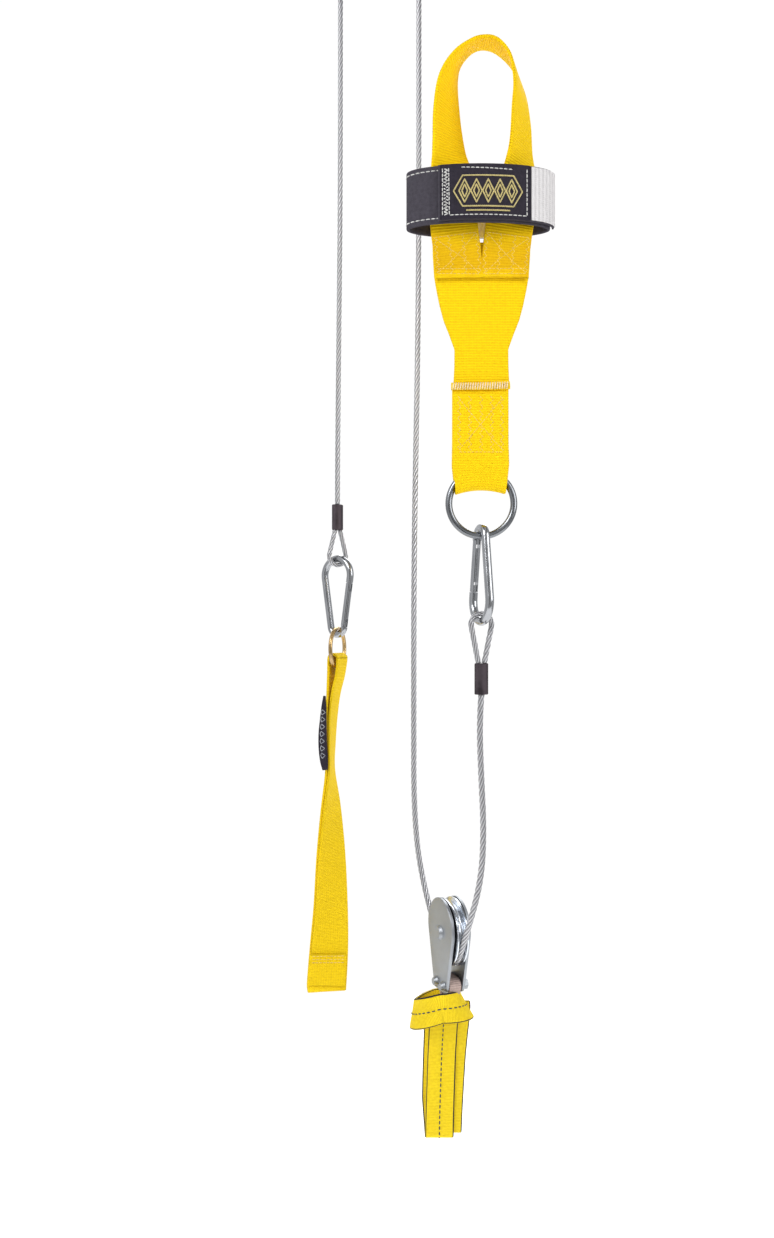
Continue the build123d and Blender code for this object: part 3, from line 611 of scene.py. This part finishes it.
# ---- handle: tab, body, hand loop -----------------------------------------------------------
def handle_tab():
    profile = ((1.45, -632.5), (1.5, -655), (2.0, -678), (4.6, -690), (5.9, -700), (5.9, -713), (4.0, -718.3),
               (0.0, -720.0), (-4.0, -718.3), (-5.9, -713), (-5.9, -700), (-4.6, -690), (-2.0, -678),
               (-1.5, -655), (-1.45, -632.5))
    tab = Webbing([(HANDLE_X - 0.9, HANDLE_Y + y, z, 1, 0, 0, 45.0) for y, z in profile], step=1.2)

    def arch(point, uv=None):
        """The fold's bottom rises a little between its corners, round the ring."""
        u = (point[0] - HANDLE_X) / 22.5
        low = np.clip((-698 - point[2]) / 20.0, 0, 1)
        turned_in = (HANDLE_X - point[0]) * 0.10 * low
        return point + UP * 3.4 * (1 - u * u) * low + np.array((turned_in, 0, 0))

    piece = tab.build("handle_tab", yellow, "handle_strap", bend=lambda v, uv: arch(v))
    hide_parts("handle_tab")
    front = -1 if tab.normal[-3][1] > 0 else 1

    def surface(s, u, lift):
        return arch(tab.at(tab.length - s, u, lift, front))

    box, runs = 17.5, []
    for column in (-17.0, -8.5, 0.5, 9.0, 17.0):
        zig = [(10.0 + 3.0 * k, column + (1.4 if k % 2 else -1.4)) for k in range(16)]
        runs.append(zig)
    runs.append([(12, -box), (54, box)])
    runs.append([(12, box), (54, -box)])
    runs.append([(56, -box), (56, box)])
    stitches("tab_stitches", surface, runs, pale_thread, "handle_strap", pitch=3.0, radius=0.26, bend=None)


def seam():
    """The folded end of the body webbing over the tab, whipped with pale thread."""
    z0 = -634.8
    roll = Webbing([(HANDLE_X - 1.0 + x, HANDLE_Y - 3.7 - 0.35 * math.cos(x / 9),
                     z0 - 0.5 * math.cos(x / 24 * 1.5) + 0.02 * x, 0, 0.12, 1, 6.4)
                    for x in np.linspace(-23.4, 23.4, 12)], thick=2.6)
    piece = roll.build("tab_seam", yellow, "handle_strap")
    front = 1 if roll.normal[5][1] < 0 else -1
    runs = []
    for k in range(23):
        s = 1.2 + k * 1.95
        runs.append([(s, -2.9), (s + 0.9, 2.6)])
    stitches("seam_stitches", lambda s, u, lift: roll.at(s, u, lift, front), runs, seam_thread, "handle_strap",
             pitch=7.0, radius=0.62, cover=0.98)


def body_half_width(z):
    heights = (-640, -632, -618, -605, -593, -582, -570, -558, -547, -530, -512)
    halves = (22.4, 22.3, 21.6, 21.5, 25.8, 30.2, 33.4, 35.9, 37.8, 38.9, 39.3)
    return float(np.interp(z, heights, halves))


def body_web():
    """The wide body webbing, gathered to the tab's width at its neck."""
    zs = np.arange(-632.5, -519.0, 1.5)
    columns = np.linspace(-1, 1, 29)
    verts, uvs = [], []
    for face in (-1, 1):
        for z in zs:
            half = body_half_width(z)
            gather = float(np.clip((-560 - z) / 60, 0, 1))
            for c in columns:
                fold = 1.5 * gather * math.cos(c * 9.0) * (abs(c) ** 1.5)
                curl = 1.6 * gather * c * c
                thick = 1.9 * (1 - 0.55 * abs(c) ** 10)
                verts.append((HANDLE_X + c * half, HANDLE_Y + fold * 0.5 + curl * 0.6 + face * thick, z))
                uvs.append((c * half + 50 * (face > 0), z + 900))
    n, m = len(zs), len(columns)
    faces = []
    for i in range(n - 1):
        for j in range(m - 1):
            a = i * m + j
            faces.append((a, a + 1, a + m + 1, a + m))
            b = n * m + a
            faces.append((b, b + m, b + m + 1, b + 1))
        for j, flip in ((0, False), (m - 1, True)):
            a, b = i * m + j, n * m + i * m + j
            quad = (a, a + m, b + m, b)
            faces.append(quad[::-1] if flip else quad)
    for i, flip in ((0, True), (n - 1, False)):
        for j in range(m - 1):
            a, b = i * m + j, n * m + i * m + j
            quad = (a, a + 1, b + 1, b)
            faces.append(quad if not flip else quad[::-1])
    piece = mesh_piece("handle_body_web", verts, faces, yellow, "handle_strap", uvs)
    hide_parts("handle_body_web")


def hand_loop():
    y0 = HANDLE_Y - WEB - WEB / 2 - 0.1
    shape = (
        (-18.5, -549.0, 0), (-18.8, -534.0, 0), (-22.0, -508.0, 0), (-22.2, -488.0, 4), (-23.0, -472.0, 14),
        (-24.4, -458.0, 32), (-26.0, -444.0, 44), (-27.4, -420.0, 53), (-26.0, -396.0, 63), (-19.0, -376.5, 78),
        (-8.0, -365.0, 86), (3.0, -361.5, 90), (14.0, -365.6, 87), (24.5, -378.0, 80), (30.4, -398.0, 70),
        (31.6, -420.0, 61), (31.6, -444.0, 56), (31.4, -458.0, 47), (29.8, -472.0, 34), (26.0, -488.0, 10),
        (22.0, -508.0, 0), (18.8, -534.0, 0), (18.5, -549.0, 0),
    )

    def across(yaw):
        lean = math.radians(16) * math.sin(math.radians(yaw)) ** 6
        return heading(yaw) * math.cos(lean) + UP * math.sin(lean)

    loop = Webbing([(HANDLE_X + x, y0, z, *across(yaw), 38.0) for x, z, yaw in shape], step=1.5)
    piece = loop.build("hand_loop", loop_yellow_painted_light, "handle_strap")
    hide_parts("hand_loop")
    runs_left, runs_right = [], []
    for runs in (runs_left, runs_right):
        for s in (3.0, 7.0, 34.0):
            runs.append([(s, -16.5), (s, 16.5)])
        for u in (-16.5, -5.5, 5.5, 16.5):
            runs.append([(3.0 + 2.6 * k, u + (1.2 if k % 2 else -1.2)) for k in range(13)])
        runs.append([(4, -16), (33, 16)])
        runs.append([(4, 16), (33, -16)])
    front_left = 1 if loop.normal[2][1] < 0 else -1
    front_right = 1 if loop.normal[-3][1] < 0 else -1
    stitches("loop_stitches_left", lambda s, u, lift: loop.at(s, u, lift, front_left), runs_left, pale_thread,
             "handle_strap", pitch=3.0, radius=0.26)
    stitches("loop_stitches_right", lambda s, u, lift: loop.at(loop.length - s, u, lift, front_right), runs_right,
             pale_thread, "handle_strap", pitch=3.0, radius=0.26)


handle_tab()
seam()
body_web()
hand_loop()


# ---- hook-and-loop cuff ---------------------------------------------------------------------
def oval(angle, grow):
    """A point of the cuff's oval, grow outside it, and the outward direction there."""
    a, b = CUFF_A, CUFF_B
    c, s = math.cos(angle), math.sin(angle)
    out = unit((c / a, s / b, 0))
    return np.array((CUFF_X + a * c, HANDLE_Y + b * s, 0)) + out * grow, out


def oval_band(name, start, stop, grow, thick, height, material, body, closed=False, lift=0.0):
    """A strip of tape round part of the oval, from start to stop degrees."""
    count = 25
    rows = []
    for k in range(count):
        t = k / (count if closed else count - 1)
        point, out = oval(math.radians(start + (stop - start) * t), grow + thick / 2)
        rows.append((point[0], point[1], CUFF_Z + lift, 0, 0, 1, height))
    band = Webbing(rows, closed=closed, thick=thick, step=1.2)
    piece = band.build(name, material, body)
    return band, piece


def x_angle(x):
    """The front angle at which the oval passes a place x from the cuff's centre."""
    return 360 - math.degrees(math.acos(max(-1, min(1, x / CUFF_A))))


def cuff():
    band, piece = oval_band("cuff_band", 0, 360, -2.6, 2.6, 46, black, "handle_strap", closed=True)
    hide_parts("cuff_band")
    runs = [[(0, u), (band.length - 1, u)] for u in (-18.8, 18.8)]
    sign = 1 if band.normal[0][0] > 0 else -1
    stitches("cuff_stitches", lambda s, u, lift: band.at(s, u, lift, sign), runs, white_thread, "handle_strap",
             pitch=4.2, radius=0.42)
    patch, piece = oval_band("cuff_hook_patch", x_angle(-24), x_angle(26), 0.0, 0.8, 38, hook_black, "handle_strap")
    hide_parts("cuff_hook_patch")
    lining, piece = oval_band("cuff_lining", 50, 130, -3.3, 0.7, 46.5, lining_pale, "handle_strap")
    flap, piece = oval_band("cuff_flap", x_angle(-32.5), 360, 1.2, 1.8, 44, black, "cuff_flap")
    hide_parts("cuff_flap")
    strip, piece = oval_band("cuff_loop_strip", x_angle(39.5), 358, 3.0, 0.9, 42, loop_grey, "cuff_flap")
    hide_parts("cuff_loop_strip")
    label, piece = oval_band("cuff_label", x_angle(-30.5), x_angle(38), 3.0, 0.9, 43, label_black, "cuff_flap")
    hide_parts("cuff_label")
    out = 1 if label.normal[3][1] < 0 else -1
    face = lambda s, u, lift: label.at(s, u, lift, out)
    long, tall = label.length, 18.5
    runs = [[(1.6, -tall), (1.6, tall)], [(7.0, -tall), (6.4, tall)], [(long - 2.4, -tall), (long - 2.4, tall)],
            [(7.0, -tall), (long - 2.4, -tall)], [(16.0, tall), (long - 14, tall - 1.4)],
            [(4.3 + (1.8 if k % 2 else -1.8), -tall + 1.3 * k) for k in range(29)]]
    stitches("label_stitches", face, runs, white_thread, "cuff_flap", pitch=3.6, radius=0.42)
    # A plain woven emblem: five lozenges in a pointed frame, with a short bar below.
    motif, middle = [], long / 2 + 2
    lozenge = lambda u, half_s, half_u: [(u - half_s, 0), (u, half_u), (u + half_s, 0), (u, -half_u), (u - half_s, 0)]
    motif.append([(middle - 27, 0), (middle - 20, 12), (middle + 20, 12), (middle + 27, 0), (middle + 20, -12),
                  (middle - 20, -12), (middle - 27, 0)])
    for k in range(-2, 3):
        motif += [lozenge(middle + 9.2 * k, 4.4, 9.0), lozenge(middle + 9.2 * k, 2.2, 5.0)]
    motif.append([(middle - 17, -15.2), (middle + 17, -15.2)])
    stitches("label_motif", face, motif, gold_thread, "cuff_flap", pitch=1.5, radius=0.62, cover=0.95)


cuff()


# ---- straps at the two blocks --------------------------------------------------------------
def hull_loop(circles, step=6.0):
    """Points round the outline that a band makes when it is pulled round some circles."""
    points = []
    for cx, cy, r in circles:
        for a in np.linspace(0, 2 * math.pi, 48, endpoint=False):
            points.append((cx + r * math.cos(a), cy + r * math.sin(a)))
    points = sorted(set((round(x, 4), round(y, 4)) for x, y in points))

    def half(row):
        chain = []
        for p in row:
            while len(chain) > 1 and ((chain[-1][0] - chain[-2][0]) * (p[1] - chain[-2][1])
                                      - (chain[-1][1] - chain[-2][1]) * (p[0] - chain[-2][0])) <= 0:
                chain.pop()
            chain.append(p)
        return chain[:-1]

    ring = np.array(half(points) + half(points[::-1]))
    closed = np.vstack([ring, ring[:1]])
    along = np.concatenate([[0], np.cumsum(np.linalg.norm(np.diff(closed, axis=0), axis=1))])
    places = np.arange(0, along[-1], along[-1] / round(along[-1] / step))
    return np.stack([np.interp(places, along, closed[:, k]) for k in range(2)], axis=1)


def block_strap(name, centre, yaw, circles, width_at, material):
    """A loop of webbing in the upright plane of a block, its width along the block's axle."""
    across = heading(yaw + 90)
    ring = hull_loop(circles, 3.0)
    rows = []
    for u, v in ring:
        rows.append((*(centre + heading(yaw) * u + UP * v), *across, width_at(v)))
    strap = Webbing(rows, closed=True, step=1.2)
    piece = strap.build(name, material, "rigging")
    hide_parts(name)
    return strap


low = 3.85 + WEB / 2
hang = block_strap("hang_strap", UPPER, UPPER_YAW, ((-9, 66, low), (9, 66, low), (0, 133, 27 + WEB / 2)),
                   lambda v: float(np.interp(v, (62, 82, 163), (11.6, 11.6, 25.0))), traced)
block_strap("anchor_strap_eye", LOW, LOW_YAW, ((-7.25, -43.6, low), (7.25, -43.6, low), (0, -51, 5.5 + WEB / 2)),
            lambda v: 11.4, eye_pale)
out = 1 if (hang.normal[0].dot(hang.point[0] - np.array((0, 0, -60.0)))) > 0 else -1
stitches("hang_strap_stitches", lambda s, u, lift: hang.at(s, u, lift, out), [[(0, 0), (hang.length - 2, 0)]],
         black_thread, "rigging", pitch=3.4, radius=0.38)


def beam_ply(name, inside, x_mid, top_shift):
    """One ply round the absent beam, drawn up into the choke."""
    front, top, side = -95.0, -1201.0, 63.5
    back, bottom = front + side, top - side
    reach = inside + WEB / 2
    apex_y, apex_z = -107.0, -1150.0
    corners = [
        (apex_y - reach, apex_z + reach * 0.5), (front - reach, top + reach), (front - reach, bottom - reach),
        (back + reach, bottom - reach), (back + reach, top + reach), (apex_y + 11.5 + reach, apex_z - 24 + reach * 0.5),
        (apex_y + 4 + reach, apex_z + reach * 0.5),
    ]
    rows = []
    count = len(corners)
    for i, here in enumerate(corners):
        here = np.array(here)
        for other in (np.array(corners[i - 1]), np.array(corners[(i + 1) % count])):
            gap = np.linalg.norm(other - here)
            rows.append((here + (other - here) * min(0.28, 4.0 / gap)))
        nxt = np.array(corners[(i + 1) % count])
        gap = np.linalg.norm(nxt - here)
        if gap > 30:
            for t in (0.3, 0.5, 0.7):
                rows.append(here + (nxt - here) * t)
    lean = lambda z: top_shift * (1 - np.clip((-1160 - z) / 98, 0, 1) ** 0.8)
    ply = Webbing([(x_mid + lean(z), y, z, 1, 0, 0, 25.0) for y, z in rows], closed=True, step=1.3)
    piece = ply.build(name, traced, "rigging")
    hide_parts(name)
    middle = np.array((x_mid, -63.0, -1233.0))
    k = int(np.argmin(ply.point[:, 1]))
    side_out = 1 if ply.normal[k].dot(ply.point[k] - middle) > 0 else -1
    stitches(f"{name}_stitches", lambda s, u, lift: ply.at(s, u, lift, side_out), [[(1, 0), (ply.length - 2, 0)]],
             black_thread, "rigging", pitch=4.6, radius=0.5, cover=0.6)


beam_ply("anchor_strap_outer_ply", WEB + 0.6, 53.3, 3.6)
beam_ply("anchor_strap_inner_ply", 0.2, 60.5, 6.6)


def choke():
    tilt = 0.2
    centre = np.array((53.0, -106.0, -1151.5))
    rows = []
    for k in range(28):
        a = 2 * math.pi * k / 28
        c, s = math.cos(a), math.sin(a)
        point = centre + np.array((22.5 * c, (25.0 - WEB / 2) * s, (7.0 if c < 0 else 1.0) * c - 6.0 * s))
        rows.append((*point, -math.sin(tilt) - 0.36 * c, 0, math.cos(tilt), 25.0))
    band = Webbing(rows, closed=True, step=1.2)
    piece = band.build("anchor_strap_choke", traced, "rigging")
    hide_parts("anchor_strap_choke")
    sign = 1 if band.normal[0].dot(band.point[0] - centre) > 0 else -1
    stitches("choke_stitches", lambda s, u, lift: band.at(s, u, lift, sign), [[(1, 0), (band.length - 2, 0)]],
             black_thread, "rigging", pitch=4.6, radius=0.5, cover=0.6)


choke()

# ---- CAD pieces that keep their shape -------------------------------------------------------
finishes = {
    "zinc_plate": plate_zinc, "bright_zinc": bright_zinc, "plated_steel": ring_steel,
    "yellow_zinc": yellow_zinc, "bronze": bronze, "black_ferrule": ferrule_dark,
}
slots = {part["node"]: part["material_slot"] for part in frame["record"]["subparts"]}
for name, slot_name in slots.items():
    piece = frame["nodes"][name]
    material = sheave_zinc if name.endswith("_sheave") else finishes.get(slot_name)
    if material is None:
        continue
    piece.data.materials.clear()
    piece.data.materials.append(material)


# ---- studio ---------------------------------------------------------------------------------
def studio():
    world = bpy.data.worlds.new("studio")
    bpy.context.scene.world = world
    world.use_nodes = True
    nodes, links = world.node_tree.nodes, world.node_tree.links
    coords = nodes.new("ShaderNodeTexCoord")
    split = nodes.new("ShaderNodeSeparateXYZ")
    links.new(coords.outputs["Generated"], split.inputs["Vector"])
    side = maths(nodes, links, "MULTIPLY", maths(nodes, links, "ADD", split.outputs["X"], 1.0), 0.5)
    grey = lambda v: (v, v, v)
    room = ramp(nodes, links, side, ((0.0, grey(0.75)), (0.22, grey(0.95)), (0.3, grey(0.16)), (0.42, grey(0.12)),
                                     (0.5, grey(0.9)), (0.6, grey(0.75)), (0.68, grey(0.1)), (0.85, grey(0.6))))
    behind = ramp(nodes, links, split.outputs["Y"], ((0.45, grey(0)), (0.72, grey(1))))
    mix = nodes.new("ShaderNodeMix")
    mix.data_type = "RGBA"
    links.new(behind, mix.inputs["Factor"])
    links.new(room, mix.inputs["A"])
    mix.inputs["B"].default_value = (1, 1, 1, 1)
    links.new(mix.outputs["Result"], nodes["Background"].inputs["Color"])
    nodes["Background"].inputs["Strength"].default_value = 1.02
    floor_material, nodes, links, base = shader("studio_floor", (0.93, 0.93, 0.93), rough=0.8, specular=0.2)
    base.inputs["Emission Color"].default_value = (1, 1, 1, 1)
    base.inputs["Emission Strength"].default_value = 0.6
    size, floor_z = 1.6, -1.75
    floor = mesh_piece("floor", np.array(((-size, -size, floor_z), (size, -size, floor_z), (size, size, floor_z),
                                          (-size, size, floor_z))) / MM, [(0, 1, 2, 3)], floor_material, None)
    for name, place, aim, energy, span in (
        ("key", (-1.3, -1.6, 0.6), (0, 0, -0.7), 31, 1.1),
        ("fill", (1.6, -1.3, -0.2), (0, 0, -0.9), 19, 1.2),
        ("rim", (0.3, 1.4, 0.5), (0, 0, -0.7), 16, 1.2),
    ):
        lamp = bpy.data.lights.new(name, "AREA")
        lamp.energy, lamp.size = energy, span
        light = bpy.data.objects.new(name, lamp)
        light.location = place
        light.rotation_euler = (Vector(aim) - Vector(place)).to_track_quat("-Z", "Y").to_euler()
        bpy.context.scene.collection.objects.link(light)
    bpy.context.scene.view_settings.view_transform = "Standard"


studio()
